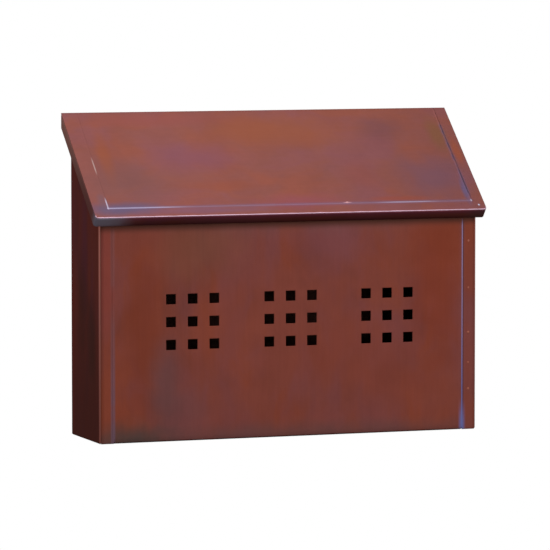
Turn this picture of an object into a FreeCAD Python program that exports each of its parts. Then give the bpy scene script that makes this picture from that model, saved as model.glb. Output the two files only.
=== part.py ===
"""Wall mounted letter box of folded sheet metal, with a sloping lid on a continuous hinge.

Millimetres, +Z up, +X to the right as seen from the front, +Y towards the wall.
The origin is the centre of the four wall screw holes, on the wall's surface.
"""

import FreeCAD
import Part
import math
import os

from FreeCAD import Placement, Rotation, Vector

# ---- Box: panels and folds -------------------------------------------------------------
body_width = 380.0          # outside faces of the two side panels
body_depth = 88.5           # rear face of the back panel to the face of the front panel
front_height = 212.5        # underside of the box to the lid's top surface at its front edge
back_height = 306.0         # underside of the box to the lid's top surface at its rear edge
sheet = 0.8                 # panel thickness
fold_radius = 0.8           # inside radius of every fold
flange_width = 14.5         # side panels' turned-in flanges, measured from the outside
floor_flange = 14.0         # turned-up edges of the floor, and the front panel's bottom fold
hem_height = 9.0            # folded top edge of the front panel
hem_gap = 0.4               # space inside the open hem
joint_gap = 0.5             # between the ends of neighbouring flanges
corner_relief = 4.0         # notch between two flanges of one side panel

# ---- Square windows in the front panel -------------------------------------------------
window_side = 9.5
window_pitch = 21.5
window_rows = 3
window_columns = 3
window_groups = 3
window_group_spacing = 98.0
window_height = 112.5       # centre of the windows above the underside of the box

# ---- Floor drain holes -----------------------------------------------------------------
drain_radius = 2.5
drain_inset_x = 40.0        # from the floor's ends
drain_inset_y = 24.0        # from the floor's front and rear folds

# ---- Lid -------------------------------------------------------------------------------
lid_sheet = 0.8
lid_side_overhang = 6.4
lid_front_overhang = 11.5
lid_rear_overhang = 8.8     # the lid's rear edge stands this far behind the back panel
lid_corner_radius = 3.0     # of the lid plate and its rim, seen from above
lid_edge_radius = 0.3       # rounding of the lid's upper edge
rim_sheet = 0.8
rim_depth = 11.0            # lid's top surface to the lower edge of its rim
rim_flange = 12.5           # width of the rim's flange under the lid plate
lid_seat_gap = 0.4          # between the closed lid and the box's sloping top edges

# ---- Hinge -----------------------------------------------------------------------------
pin_radius = 1.25
pin_clearance = 0.06
leaf_sheet = 0.8
leaf_width = 14.0           # pin axis to the leaf's free edge
knuckle_count = 15
knuckle_gap = 0.4           # between neighbouring knuckles
barrel_lift = 0.35          # between the knuckles and the sheet that each leaf lies on
leaf_clearance = 0.5        # between a leaf's edge and the other leaf's knuckles
hinge_end_gap = 4.0         # between the hinge's ends and the lid's side rims

# ---- Rivets ----------------------------------------------------------------------------
rivet_radius = 1.6
rivet_clearance = 0.05
rivet_head_radius = 3.2
rivet_head_height = 1.5
rivet_tail_radius = 2.4
rivet_tail_height = 1.3
hinge_rivets = 7
rail_rivet_rows = 3

# ---- Mounting rails --------------------------------------------------------------------
wall_gap = 15.0             # back panel's rear face to the wall
rail_sheet = 1.2
rail_crown = 26.0           # width of the face that meets the wall
rail_foot = 12.0            # width of each flange on the back panel
rail_low_gap = 35.0         # underside of the box to the rails' lower ends
rail_high_gap = 41.0        # rails' upper ends to the height of the lid's rear edge
rail_inset = 70.0           # sides of the box to the rails' middle lines
rail_end = 20.0             # screw hole to the end of the rail
screw_hole_radius = 2.75
access_radius = 7.0         # holes in the back panel that let a screw head through

# ---- Worked out from the above ---------------------------------------------------------
half_width = body_width / 2
rail_length = back_height - rail_low_gap - rail_high_gap
screw_spacing_x = body_width - 2 * rail_inset
screw_spacing_z = rail_length - 2 * rail_end
mount_height = rail_low_gap + rail_length / 2       # underside of the box to the screw pattern's centre
fold_outside = fold_radius + sheet
base_z = -mount_height
back_y = -wall_gap                                  # rear face of the back panel
front_y = back_y - body_depth                       # face of the front panel
panel_half = half_width - fold_outside              # front and back panels stop at the corner fold
inner_half = half_width - flange_width - joint_gap  # clear between the side panels' flanges

lid_rear_y = back_y + lid_rear_overhang
lid_front_y = front_y - lid_front_overhang
lid_rear_z = base_z + back_height
slope = math.atan2(back_height - front_height, lid_rear_y - lid_front_y)
lid_length = (lid_rear_y - lid_front_y) / math.cos(slope)
lid_half = half_width + lid_side_overhang
lid_place = Placement(Vector(0, lid_rear_y, lid_rear_z), Rotation(Vector(1, 0, 0), math.degrees(slope)))

knuckle_bore = pin_radius + pin_clearance
knuckle_radius = knuckle_bore + leaf_sheet
barrel_offset = knuckle_radius + barrel_lift        # pin axis to the outer face of each leaf
pin_y = back_y + barrel_offset                      # the fixed leaf lies flat on the back panel
pin_drop = lid_sheet + barrel_offset                # pin axis below the lid's top surface
pin_z = lid_rear_z - (lid_rear_y - pin_y) * math.tan(slope) - pin_drop / math.cos(slope)
pin_along_lid = (pin_y - lid_rear_y) * math.cos(slope) + (pin_z - lid_rear_z) * math.sin(slope)
hinge_half = lid_half - rim_flange - hinge_end_gap
knuckle_pitch = 2 * hinge_half / knuckle_count

seat_drop = lid_sheet + rim_sheet + lid_seat_gap    # lid's top surface to the box's top edges


def seat_z(y):
    """Height of the sloping plane that the box's top edges reach, at depth y."""
    return lid_rear_z - (lid_rear_y - y) * math.tan(slope) - seat_drop / math.cos(slope)


front_top = seat_z(front_y)
back_top = seat_z(back_y - sheet)


# ---- Shape helpers ---------------------------------------------------------------------
def block(x0, x1, y0, y1, z0, z1):
    """Box between two corners."""
    return Part.makeBox(x1 - x0, y1 - y0, z1 - z0, Vector(x0, y0, z0))


def rounded_path(points, radius):
    """Open wire of straight runs joined by arcs of one radius."""
    edges = []
    start = points[0]
    for before, corner, after in zip(points, points[1:], points[2:]):
        back = (before - corner).normalize()
        ahead = (after - corner).normalize()
        half_turn = back.getAngle(ahead) / 2
        reach = radius / math.tan(half_turn)
        enter = corner + back * reach
        leave = corner + ahead * reach
        middle = (back + ahead).normalize()
        crown = corner + middle * (radius / math.sin(half_turn) - radius)
        edges.append(Part.makeLine(start, enter))
        edges.append(Part.Arc(enter, crown, leave).toShape())
        start = leave
    edges.append(Part.makeLine(start, points[-1]))
    return Part.Wire(edges)


def folded(outside, inside, thickness, x0, x1):
    """Folded strip between its outside and inside faces' outlines in Y and Z, run along X.

    outside and inside are lists of (y, z), with the same corners in the same order. The inside
    turns at fold_radius and the outside at that plus the sheet.
    """
    outer = [Vector(x0, y, z) for y, z in outside]
    inner = [Vector(x0, y, z) for y, z in inside]
    far = rounded_path(outer, fold_radius + thickness)
    near = rounded_path(inner, fold_radius)
    ends = [
        Part.makeLine(outer[-1], inner[-1]),
        Part.makeLine(inner[0], outer[0]),
    ]
    wire = Part.Wire(Part.__sortEdges__(far.Edges + near.Edges + ends))
    return Part.Face(wire).extrude(Vector(x1 - x0, 0, 0))


def edges_at(shape, test):
    """Edges whose middle point passes the test."""
    found = []
    for edge in shape.Edges:
        middle = edge.valueAt((edge.FirstParameter + edge.LastParameter) / 2)
        if test(middle):
            found.append(edge)
    return found


def near(a, b):
    return abs(a - b) < 1e-6


def cylinder_y(radius, x, y0, y1, z):
    """Cylinder along Y."""
    return Part.makeCylinder(radius, y1 - y0, Vector(x, y0, z), Vector(0, 1, 0))


def mirrored(shape):
    """The same piece on the other side of the box."""
    return shape.mirror(Vector(0, 0, 0), Vector(1, 0, 0))


def spread(count, half):
    """Places of count items from -half to half."""
    return [-half + 2 * half * i / (count - 1) for i in range(count)]


# ---- Box -------------------------------------------------------------------------------
def side_panel():
    """Left side: a shallow tray with flanges at the front, bottom and rear and an open, sloping top."""
    y0 = front_y + sheet
    y1 = back_y - sheet
    x0 = -half_width
    x1 = x0 + flange_width
    z0 = base_z
    over = lid_rear_z
    outer = block(x0, x1, y0, y1, z0, over)
    outer = outer.makeFillet(fold_outside, edges_at(outer, lambda p: near(p.x, x0) and p.z < over - 1))
    inner = block(x0 + sheet, x1 + 1, y0 + sheet, y1 - sheet, z0 + sheet, over + 1)
    folds = edges_at(inner, lambda p: near(p.x, x0 + sheet) and p.z < over - 1)
    tray = outer.cut(inner.makeFillet(fold_radius, folds))
    corner = fold_outside + corner_relief
    inboard = x0 + fold_outside
    for ya, yb in ((y0 - 1, y0 + corner), (y1 - corner, y1 + 1)):
        tray = tray.cut(block(inboard, x1 + 1, ya, yb, z0 - 1, z0 + corner))
    reach = 2 * back_height
    above = [
        Vector(x0 - 1, lid_rear_y + reach, seat_z(lid_rear_y + reach)),
        Vector(x0 - 1, lid_front_y - reach, seat_z(lid_front_y - reach)),
        Vector(x0 - 1, lid_front_y - reach, lid_rear_z + reach),
        Vector(x0 - 1, lid_rear_y + reach, lid_rear_z + 2 * reach),
    ]
    cutter = Part.Face(Part.makePolygon(above + above[:1])).extrude(Vector(flange_width + 2, 0, 0))
    return tray.cut(cutter)


def window_places():
    """Centres (x, z) of the square windows."""
    places = []
    for group in range(window_groups):
        group_x = (group - (window_groups - 1) / 2) * window_group_spacing
        for column in range(window_columns):
            for row in range(window_rows):
                x = group_x + (column - (window_columns - 1) / 2) * window_pitch
                z = window_height + (row - (window_rows - 1) / 2) * window_pitch
                places.append((x, base_z + z))
    return places


def front_panel():
    """Flat face with a folded-in bottom edge and an open hem along its top, and the square windows."""
    face = front_y
    back = face + sheet
    z0 = base_z
    z1 = front_top
    hem = back + hem_gap
    middle = block(-panel_half, panel_half, face, back, z0 + fold_outside, z1 - fold_outside)
    bottom = folded(
        [(face, z0 + fold_outside + 1), (face, z0), (face + floor_flange, z0)],
        [(back, z0 + fold_outside + 1), (back, z0 + sheet), (face + floor_flange, z0 + sheet)],
        sheet,
        -inner_half,
        inner_half,
    )
    crown = (hem_gap / 2) + sheet
    start = Vector(-inner_half, face + crown, z1 - crown)
    bend = Part.makeCylinder(crown, 2 * inner_half, start, Vector(1, 0, 0))
    hollow = Part.makeCylinder(hem_gap / 2, 2 * inner_half, start, Vector(1, 0, 0))
    bend = bend.cut(hollow).cut(block(-half_width, half_width, face - 1, hem + sheet + 1, z0, z1 - crown))
    outer_leg = block(-inner_half, inner_half, face, back, z1 - fold_outside - 1, z1 - crown)
    inner_leg = block(-inner_half, inner_half, hem, hem + sheet, z1 - hem_height, z1 - crown)
    ends_low = block(-panel_half, panel_half, face, back, z0, z0 + fold_outside).cut(
        block(-inner_half, inner_half, face - 1, back + 1, z0 - 1, z0 + fold_outside + 1)
    )
    ends_high = block(-panel_half, panel_half, face, back, z1 - fold_outside, z1).cut(
        block(-inner_half, inner_half, face - 1, back + 1, z1 - fold_outside - 1, z1 + 1)
    )
    panel = middle.multiFuse([bottom, bend, outer_leg, inner_leg, ends_low, ends_high]).removeSplitter()
    half = window_side / 2
    holes = [
        block(x - half, x + half, face - 1, back + 1, z - half, z + half) for x, z in window_places()
    ]
    return panel.cut(Part.makeCompound(holes))


def floor_panel():
    """Floor on the side panels' bottom flanges, with its front and rear edges turned up."""
    y0 = front_y + sheet
    y1 = back_y - sheet
    z0 = base_z + sheet
    top = z0 + floor_flange
    channel = folded(
        [(y0, top), (y0, z0), (y1, z0), (y1, top)],
        [(y0 + sheet, top), (y0 + sheet, z0 + sheet), (y1 - sheet, z0 + sheet), (y1 - sheet, top)],
        sheet,
        -(half_width - fold_outside),
        half_width - fold_outside,
    )
    step = sheet + fold_outside
    for side in (-1, 1):
        x0, x1 = sorted((side * inner_half, side * half_width))
        for ya, yb in ((y0 - 1, y0 + step), (y1 - step, y1 + 1)):
            channel = channel.cut(block(x0, x1, ya, yb, z0 - 1, top + 1))
    for x in (-inner_half + drain_inset_x, 0, inner_half - drain_inset_x):
        for y in (y0 + drain_inset_y, y1 - drain_inset_y):
            channel = channel.cut(Part.makeCylinder(drain_radius, 2 * sheet, Vector(x, y, z0 - sheet / 2)))
    return channel


def screw_places():
    """Centres (x, z) of the four wall screws."""
    return [
        (sx * screw_spacing_x / 2, sz * screw_spacing_z / 2) for sx in (-1, 1) for sz in (-1, 1)
    ]


def hinge_rivet_places():
    """Centres (x, z) of the rivets through the fixed leaf, midway between its edge and the knuckles."""
    z = pin_z - (leaf_width + knuckle_radius) / 2
    return [(x, z) for x in spread(hinge_rivets, hinge_half - knuckle_pitch / 2)]


def rail_rivet_places(side):
    """Centres (x, z) of the rivets through one rail's two feet."""
    foot_middle = (rail_crown + rail_foot - rail_sheet) / 2
    places = []
    for foot in (-1, 1):
        for z in spread(rail_rivet_rows, (rail_length - rail_end) / 2):
            places.append((side * screw_spacing_x / 2 + foot * foot_middle, z))
    return places


def all_rivet_places():
    return hinge_rivet_places() + rail_rivet_places(-1) + rail_rivet_places(1)


def back_panel():
    """Flat rear wall with its rivet holes and the access holes for the wall screws."""
    y0 = back_y - sheet
    panel = block(-panel_half, panel_half, y0, back_y, base_z, back_top)
    radius = rivet_radius + rivet_clearance
    holes = [cylinder_y(radius, x, y0 - 1, back_y + 1, z) for x, z in all_rivet_places()]
    holes += [cylinder_y(access_radius, x, y0 - 1, back_y + 1, z) for x, z in screw_places()]
    return panel.cut(Part.makeCompound(holes))


def mounting_rail(side):
    """Hat section that stands the box off the wall, with two screw holes in its crown."""
    centre = side * screw_spacing_x / 2
    half = rail_crown / 2
    end = half + rail_foot - rail_sheet
    z0 = -rail_length / 2
    t = rail_sheet
    wall_side = [
        Vector(centre - end, back_y + t, z0),
        Vector(centre - half, back_y + t, z0),
        Vector(centre - half, 0, z0),
        Vector(centre + half, 0, z0),
        Vector(centre + half, back_y + t, z0),
        Vector(centre + end, back_y + t, z0),
    ]
    box_side = [
        Vector(centre - end, back_y, z0),
        Vector(centre - half + t, back_y, z0),
        Vector(centre - half + t, -t, z0),
        Vector(centre + half - t, -t, z0),
        Vector(centre + half - t, back_y, z0),
        Vector(centre + end, back_y, z0),
    ]
    outline = Part.Face(Part.makePolygon(wall_side + box_side[::-1] + wall_side[:1]))
    hat = outline.extrude(Vector(0, 0, rail_length))

    def is_fold(points, p):
        return near(p.z, 0) and any(near(p.x, q.x) and near(p.y, q.y) for q in points)

    tight = wall_side[1:2] + wall_side[4:5] + box_side[2:4]
    wide = wall_side[2:4] + box_side[1:2] + box_side[4:5]
    hat = hat.makeFillet(fold_radius, edges_at(hat, lambda p: is_fold(tight, p)))
    hat = hat.makeFillet(fold_radius + t, edges_at(hat, lambda p: is_fold(wide, p)))
    holes = [
        cylinder_y(screw_hole_radius, x, -2 * t, t, z) for x, z in screw_places() if x * side > 0
    ]
    holes += [
        cylinder_y(rivet_radius + rivet_clearance, x, back_y - t, back_y + 2 * t, z)
        for x, z in rail_rivet_places(side)
    ]
    return hat.cut(Part.makeCompound(holes))


def rivet(x, z, y_head, y_tail):
    """Domed rivet along Y, its head against the face at y_head and its tail against y_tail."""
    dome_radius = (rivet_head_radius**2 + rivet_head_height**2) / (2 * rivet_head_height)
    crown = y_head - rivet_head_height
    dome = Part.makeSphere(dome_radius, Vector(x, crown + dome_radius, z))
    dome = dome.common(cylinder_y(rivet_head_radius, x, crown, y_head, z))
    shank = cylinder_y(rivet_radius, x, y_head - rivet_head_height / 2, y_tail + rivet_tail_height / 2, z)
    tail = cylinder_y(rivet_tail_radius, x, y_tail, y_tail + rivet_tail_height, z)
    rim = edges_at(tail, lambda p: near(p.y, y_tail + rivet_tail_height))
    tail = tail.makeFillet(rivet_tail_height / 2, rim)
    return dome.multiFuse([shank, tail]).removeSplitter()


def rivets(places, outer_sheet):
    """A row of rivets through the back panel and one more thickness behind it."""
    y_head = back_y - sheet
    y_tail = back_y + outer_sheet
    return Part.makeCompound([rivet(x, z, y_head, y_tail) for x, z in places])


# ---- Hinge -----------------------------------------------------------------------------
def knuckle_spans(first):
    """X ranges of every second knuckle, from knuckle number first."""
    spans = []
    for i in range(first, knuckle_count, 2):
        x0 = -hinge_half + i * knuckle_pitch
        spans.append((x0 + knuckle_gap / 2, x0 + knuckle_pitch - knuckle_gap / 2))
    return spans


def leaf(first):
    """Hinge leaf lying in X and -Z from a pin along X through the origin, its face at -Y outermost."""
    outer = -barrel_offset
    inner = outer + leaf_sheet
    plate_top = -knuckle_radius - leaf_clearance
    pieces = [block(-hinge_half, hinge_half, outer, inner, -leaf_width, plate_top)]
    for x0, x1 in knuckle_spans(first):
        pieces.append(block(x0, x1, outer, inner, plate_top, 0))
        pieces.append(Part.makeCylinder(knuckle_radius, x1 - x0, Vector(x0, 0, 0), Vector(1, 0, 0)))
    bore = Part.makeCylinder(
        knuckle_bore, 2 * hinge_half + 2, Vector(-hinge_half - 1, 0, 0), Vector(1, 0, 0)
    )
    return pieces[0].multiFuse(pieces[1:]).cut(bore).removeSplitter()


def hinge_leaf_box():
    """Leaf on the back panel, with the odd knuckles."""
    plate = leaf(0)
    plate.Placement = Placement(Vector(0, pin_y, pin_z), Rotation())
    radius = rivet_radius + rivet_clearance
    holes = [
        cylinder_y(radius, x, back_y - 1, back_y + 2 * leaf_sheet, z) for x, z in hinge_rivet_places()
    ]
    return plate.cut(Part.makeCompound(holes))


def hinge_leaf_lid():
    """Leaf under the lid plate, with the even knuckles."""
    plate = leaf(1)
    turn = Rotation(Vector(1, 0, 0), math.degrees(slope) - 90)
    plate.Placement = Placement(Vector(0, pin_y, pin_z), turn)
    return plate


def hinge_pin():
    """Pin with its ends flush with the outer knuckles."""
    return Part.makeCylinder(
        pin_radius, 2 * hinge_half - knuckle_gap,
        Vector(-hinge_half + knuckle_gap / 2, pin_y, pin_z), Vector(1, 0, 0),
    )


# ---- Lid, built flat with its rear upper edge at the origin and its front towards -Y ---
def placed_on_box(flat):
    """Tilts a lid piece to the slope and trims it upright at the rear."""
    piece = flat.copy()
    piece.Placement = lid_place
    behind = block(
        -2 * lid_half, 2 * lid_half, lid_rear_y, lid_rear_y + lid_length,
        lid_rear_z - lid_length, lid_rear_z + lid_length,
    )
    return piece.cut(behind)


def lid_plate():
    """Flat sheet with rounded front corners and an eased upper edge."""
    plate = block(-lid_half, lid_half, -lid_length, lid_sheet, -lid_sheet, 0)
    corners = edges_at(plate, lambda p: near(p.y, -lid_length) and near(p.z, -lid_sheet / 2))
    plate = plate.makeFillet(lid_corner_radius, corners)
    rim = edges_at(plate, lambda p: near(p.z, 0) and p.y < lid_sheet - 1e-3)
    return placed_on_box(plate.makeFillet(lid_edge_radius, rim))


def rim_block(inset, top, bottom, corner_radius, edge_radius):
    """Block under the lid plate with rounded front corners and rounded upper edges, open-ended rearwards."""
    rear = 2 + inset
    shape = block(-lid_half + inset, lid_half - inset, -lid_length + inset, rear, bottom, top)
    front = -lid_length + inset
    middle = (top + bottom) / 2
    corners = edges_at(shape, lambda p: near(p.y, front) and near(p.z, middle))
    shape = shape.makeFillet(corner_radius, corners)
    rim = edges_at(shape, lambda p: near(p.z, top) and p.y < rear - 1e-3)
    return shape.makeFillet(edge_radius, rim)


def lid_rim():
    """The whole rim under the lid plate: a flange inwards and a skirt down, on three sides."""
    top = -lid_sheet
    ceiling = top - rim_sheet
    outer = rim_block(0, top, -rim_depth, lid_corner_radius, fold_radius + rim_sheet)
    inner = rim_block(rim_sheet, ceiling, -rim_depth - 1, lid_corner_radius - rim_sheet, fold_radius)
    opening = block(
        -lid_half + rim_flange, lid_half - rim_flange, -lid_length + rim_flange, 3, ceiling - 1, top + 1
    )
    return outer.cut(inner).cut(opening)


def lid_rim_pieces():
    """The rim cut at its two mitred front corners into front, left and right strips."""
    rim = lid_rim()
    margin = 5.0
    corners = [
        Vector(-lid_half - margin, -lid_length - margin, -rim_depth - 1),
        Vector(lid_half + margin, -lid_length - margin, -rim_depth - 1),
        Vector(0, lid_half - lid_length, -rim_depth - 1),
    ]
    front_zone = Part.Face(Part.makePolygon(corners + corners[:1])).extrude(Vector(0, 0, rim_depth + 2))
    strips = {}
    strips["lid_rim_front"] = placed_on_box(rim.common(front_zone))
    sides = rim.cut(front_zone)
    for name, x0, x1 in (("left", -2 * lid_half, 0), ("right", 0, 2 * lid_half)):
        zone = block(x0, x1, -2 * lid_length, lid_length, -2 * rim_depth, 1)
        strips["lid_rim_" + name] = placed_on_box(sides.common(zone))
    return strips


# ---- Output ----------------------------------------------------------------------------
def build():
    left = side_panel()
    nodes = {
        "front_panel": front_panel(),
        "side_panel_left": left,
        "side_panel_right": mirrored(left),
        "back_panel": back_panel(),
        "floor_panel": floor_panel(),
        "mounting_rail_left": mounting_rail(-1),
        "mounting_rail_right": mounting_rail(1),
        "rail_rivets_left": rivets(rail_rivet_places(-1), rail_sheet),
        "rail_rivets_right": rivets(rail_rivet_places(1), rail_sheet),
        "hinge_rivets": rivets(hinge_rivet_places(), leaf_sheet),
        "hinge_leaf_box": hinge_leaf_box(),
        "hinge_leaf_lid": hinge_leaf_lid(),
        "hinge_pin": hinge_pin(),
        "lid_plate": lid_plate(),
    }
    nodes.update(lid_rim_pieces())
    return nodes


os.makedirs("parts", exist_ok=True)
for name, shape in build().items():
    shape.exportStep(os.path.join("parts", name + ".step"))
    box = shape.BoundBox
    size = " x ".join("%.1f" % d for d in (box.XLength, box.YLength, box.ZLength))
    print(name, len(shape.Solids), "solids,", size, "mm, valid", shape.isValid())
print("slope %.2f deg, pin at y %.2f z %.2f" % (math.degrees(slope), pin_y, pin_z))
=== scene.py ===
"""Wall mounted letter box in antique copper: its looks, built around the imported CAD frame.

Metres, +Z up, -Y towards the viewer, +Y towards the wall.
"""

import math

import bpy
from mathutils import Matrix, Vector, noise


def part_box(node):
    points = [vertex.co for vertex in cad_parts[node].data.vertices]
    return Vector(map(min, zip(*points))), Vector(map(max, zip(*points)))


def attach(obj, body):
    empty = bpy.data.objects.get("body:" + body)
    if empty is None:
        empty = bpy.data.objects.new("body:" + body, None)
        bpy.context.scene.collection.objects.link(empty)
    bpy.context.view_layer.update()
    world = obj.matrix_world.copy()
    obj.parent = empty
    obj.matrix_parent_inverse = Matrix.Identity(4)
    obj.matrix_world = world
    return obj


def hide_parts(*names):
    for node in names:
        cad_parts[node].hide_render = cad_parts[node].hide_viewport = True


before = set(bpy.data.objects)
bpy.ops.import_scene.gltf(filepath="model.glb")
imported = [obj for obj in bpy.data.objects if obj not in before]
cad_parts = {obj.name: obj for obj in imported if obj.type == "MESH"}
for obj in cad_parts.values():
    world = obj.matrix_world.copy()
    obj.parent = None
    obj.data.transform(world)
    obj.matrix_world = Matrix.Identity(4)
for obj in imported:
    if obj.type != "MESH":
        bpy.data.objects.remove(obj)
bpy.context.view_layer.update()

MM = 0.001
QUARTER = math.radians(90)


# ---- Places read from the frame
front_low, front_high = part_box("front_panel")
back_low, back_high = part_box("back_panel")
side_low, side_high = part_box("side_panel_left")
plate_low, plate_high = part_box("lid_plate")

half_width = -side_low.x  # outside of the side panels
panel_half = front_high.x  # front and back panels' ends
base_z = side_low.z
front_y = front_low.y  # face of the front panel
front_top = front_high.z
back_y = back_high.y  # rear face of the back panel
sheet = side_low.y - front_low.y  # thickness of every panel
fold = half_width - panel_half  # outside radius of the folds
flange = side_high.x + half_width  # side panels' turned-in flanges
slope = math.atan2(back_high.z - front_top, back_low.y - front_y)
lid_half = plate_high.x
lid_rear_y = plate_high.y
lid_rear_z = plate_high.z

# ---- Sizes of the parts' details
LID_FRONT_Y = front_y - 11.5 * MM
LID_LENGTH = (lid_rear_y - LID_FRONT_Y) / math.cos(slope) - 0.01 * MM
LID_CORNER = 3.0 * MM
RIM_DEPTH = 11.0 * MM
RIM_FLANGE = 12.5 * MM
CORNER_RELIEF = 4.0 * MM
FLOOR_FLANGE = 14.0 * MM
HEM_HEIGHT = 9.0 * MM
HEM_GAP = 0.4 * MM
JOINT_GAP = 0.5 * MM
WINDOW_SIDE = 9.5 * MM
WINDOW_PITCH = 21.5 * MM
WINDOW_COUNT = 3  # rows and columns of one group, and groups
WINDOW_GROUP_SPACING = 98.0 * MM
WINDOW_HEIGHT = 112.5 * MM  # centre of the windows above the underside
WINDOW_MARGIN = 0.9 * MM  # flat ring around each window
EASED_EDGE = 0.22 * MM
SLIT = 0.6 * MM  # saw cut between the front's folds and its flat ends
SHEET_WAVE = 0.22 * MM  # how far the flat sheets bow
WAVE_LENGTH = 95.0 * MM
inner_half = half_width - flange - JOINT_GAP
seam_x = half_width - flange  # the right flange's free edge shows through the front here
left_seam_x = -seam_x - 1.2 * MM  # and the left one's here
window_z = base_z + WINDOW_HEIGHT

GRID = 4 * MM  # between the grid lines of a flat sheet
BESIDE_RIDGE = (1.6 * MM, 0.4 * MM)  # how far closer lines reach beside a ridge, and their step
CLOSEST_LINES = 0.12 * MM
SMOOTH_ANGLE = math.radians(38)
BEVEL_ANGLE = math.radians(55)
JOIN_CELL = 0.01 * MM  # points of one skin that are closer than this become one
TINY = 1e-9


# ---- Mesh helpers
def spread(low, high, count):
    """Evenly spaced values from low to high, or their middle where count is 1."""
    if count == 1:
        return [(low + high) / 2]
    return [low + (high - low) * i / (count - 1) for i in range(count)]


def arc(turn=QUARTER, steps=6):
    """Angles from 0 to turn."""
    return spread(0, turn, steps + 1)


def grid_lines(start, stop, step, fine=(), clear=()):
    """Places of grid lines from start to stop, about step apart.

    fine holds (place, reach, fine_step) for closer lines, clear holds spans that no line enters.
    """
    lines = spread(start, stop, max(1, round((stop - start) / step)) + 1)
    for place, reach, fine_step in fine:
        steps = round(reach / fine_step)
        close = [place + i * fine_step for i in range(-steps, steps + 1)]
        lines = [v for v in lines if abs(v - place) > reach or v in (start, stop)]
        lines += [v for v in close if start < v < stop]
    for low, high in clear:
        lines = [v for v in lines if v < low or v > high] + [low, high]
    fixed = {start, stop}.union(*clear)
    kept = []
    for value in sorted(lines):
        if not kept or value - kept[-1] >= CLOSEST_LINES:
            kept.append(value)
        elif value in fixed:
            kept[-1] = value
    return kept


NEIGHBOURS = [(i, j, k) for i in (0, -1, 1) for j in (0, -1, 1) for k in (0, -1, 1)]


class Skin:
    """A folded sheet as points on its outer face, each with its partner on the inner face."""

    def __init__(self):
        self.index = {}
        self.outer = []
        self.inner = []
        self.faces = []

    def point(self, outer, inner):
        """Number of the point at this place, new if nothing is there yet."""
        cell = [math.floor(value / JOIN_CELL) for value in outer]
        for step in NEIGHBOURS:
            found = self.index.get(tuple(a + b for a, b in zip(cell, step)))
            if found is not None:
                return found
        self.index[tuple(cell)] = len(self.outer)
        self.outer.append(Vector(outer))
        self.inner.append(Vector(inner))
        return len(self.outer) - 1

    def patch(self, rows, keep=None):
        """Quads over rows of (outer, inner) points; keep(i, j) says which cells stay."""
        ids = [[self.point(outer, inner) for outer, inner in row] for row in rows]
        for i in range(len(ids) - 1):
            for j in range(len(ids[0]) - 1):
                if keep and not keep(i, j):
                    continue
                quad = [ids[i][j], ids[i][j + 1], ids[i + 1][j + 1], ids[i + 1][j]]
                loop = [v for k, v in enumerate(quad) if v != quad[k - 1]]
                if len(set(loop)) >= 3:
                    self.faces.append(self.facing_out(loop))

    def facing_out(self, loop):
        places = [self.outer[v] for v in loop]
        middle = sum(places, Vector()) / len(places)
        normal = Vector()
        for k, place in enumerate(places):
            normal += (places[k - 1] - middle).cross(place - middle)
        outward = sum((self.outer[v] - self.inner[v] for v in loop), Vector())
        return loop if normal.dot(outward) > 0 else loop[::-1]

    def solid(self, name, leave_open=None):
        """Closed mesh of both faces and the cut edges between them."""
        offset = len(self.outer)
        faces = list(self.faces)
        faces += [[v + offset for v in reversed(loop)] for loop in self.faces]
        sides = {(loop[k - 1], end): True for loop in self.faces for k, end in enumerate(loop)}
        for start, end in sides:
            middle = (self.outer[start] + self.outer[end]) / 2
            if (end, start) not in sides and not (leave_open and leave_open(middle)):
                faces.append([end, start, start + offset, end + offset])
        return new_mesh(name, self.outer + self.inner, faces)


def new_mesh(name, places, faces=()):
    mesh = bpy.data.meshes.new(name)
    mesh.from_pydata(places, [], faces)
    mesh.validate()
    return mesh


def add_object(name, data):
    made = bpy.data.objects.new(name, data)
    bpy.context.scene.collection.objects.link(made)
    return made


def plain_copy(made):
    """Applies the object's modifiers and leaves it with a plain mesh."""
    bpy.context.view_layer.update()
    evaluated = made.evaluated_get(bpy.context.evaluated_depsgraph_get())
    mesh = bpy.data.meshes.new_from_object(evaluated)
    made.modifiers.clear()
    made.data = mesh
    mesh.name = made.name


def ease_edges(made, width=EASED_EDGE, segments=2):
    """Rounds the sheet's cut edges slightly."""
    bevel = made.modifiers.new("eased_edges", "BEVEL")
    bevel.width = width
    bevel.segments = segments
    bevel.limit_method = "ANGLE"
    bevel.angle_limit = BEVEL_ANGLE
    bevel.use_clamp_overlap = True
    plain_copy(made)


def move_points(mesh, move):
    for point in mesh.vertices:
        point.co += move(point.co)
    mesh.update()


def bell(distance, width):
    """1 at no distance, falling away over about width."""
    return math.exp(-((distance / width) ** 2))


def ramp(value, low, high):
    """Smooth step from 0 at low to 1 at high."""
    share = min(1.0, max(0.0, (value - low) / (high - low)))
    return share * share * (3 - 2 * share)


def drift(x, y, z):
    """Smooth random height at a place that is given in wave lengths."""
    return noise.noise(Vector((x, y, z)))


def finish_piece(made, body, slot_name, material, *nodes):
    """Shades a finished piece, gives it its material and ties it to the frame."""
    made.data.shade_smooth()
    made.data.set_sharp_from_angle(angle=SMOOTH_ANGLE)
    made.data.materials.clear()
    made.data.materials.append(material)
    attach(made, body)
    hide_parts(*nodes)


# ---- Node tree helpers
def sign(operation, turned=False):
    """Method that calculates with a wire and a value, or turned round with the value first."""
    def method(wire, other=0.0):
        inputs = [other, wire] if turned else [wire, other]
        return add(wire.tree, "ShaderNodeMath", inputs, operation=operation)[0]

    return method


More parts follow.
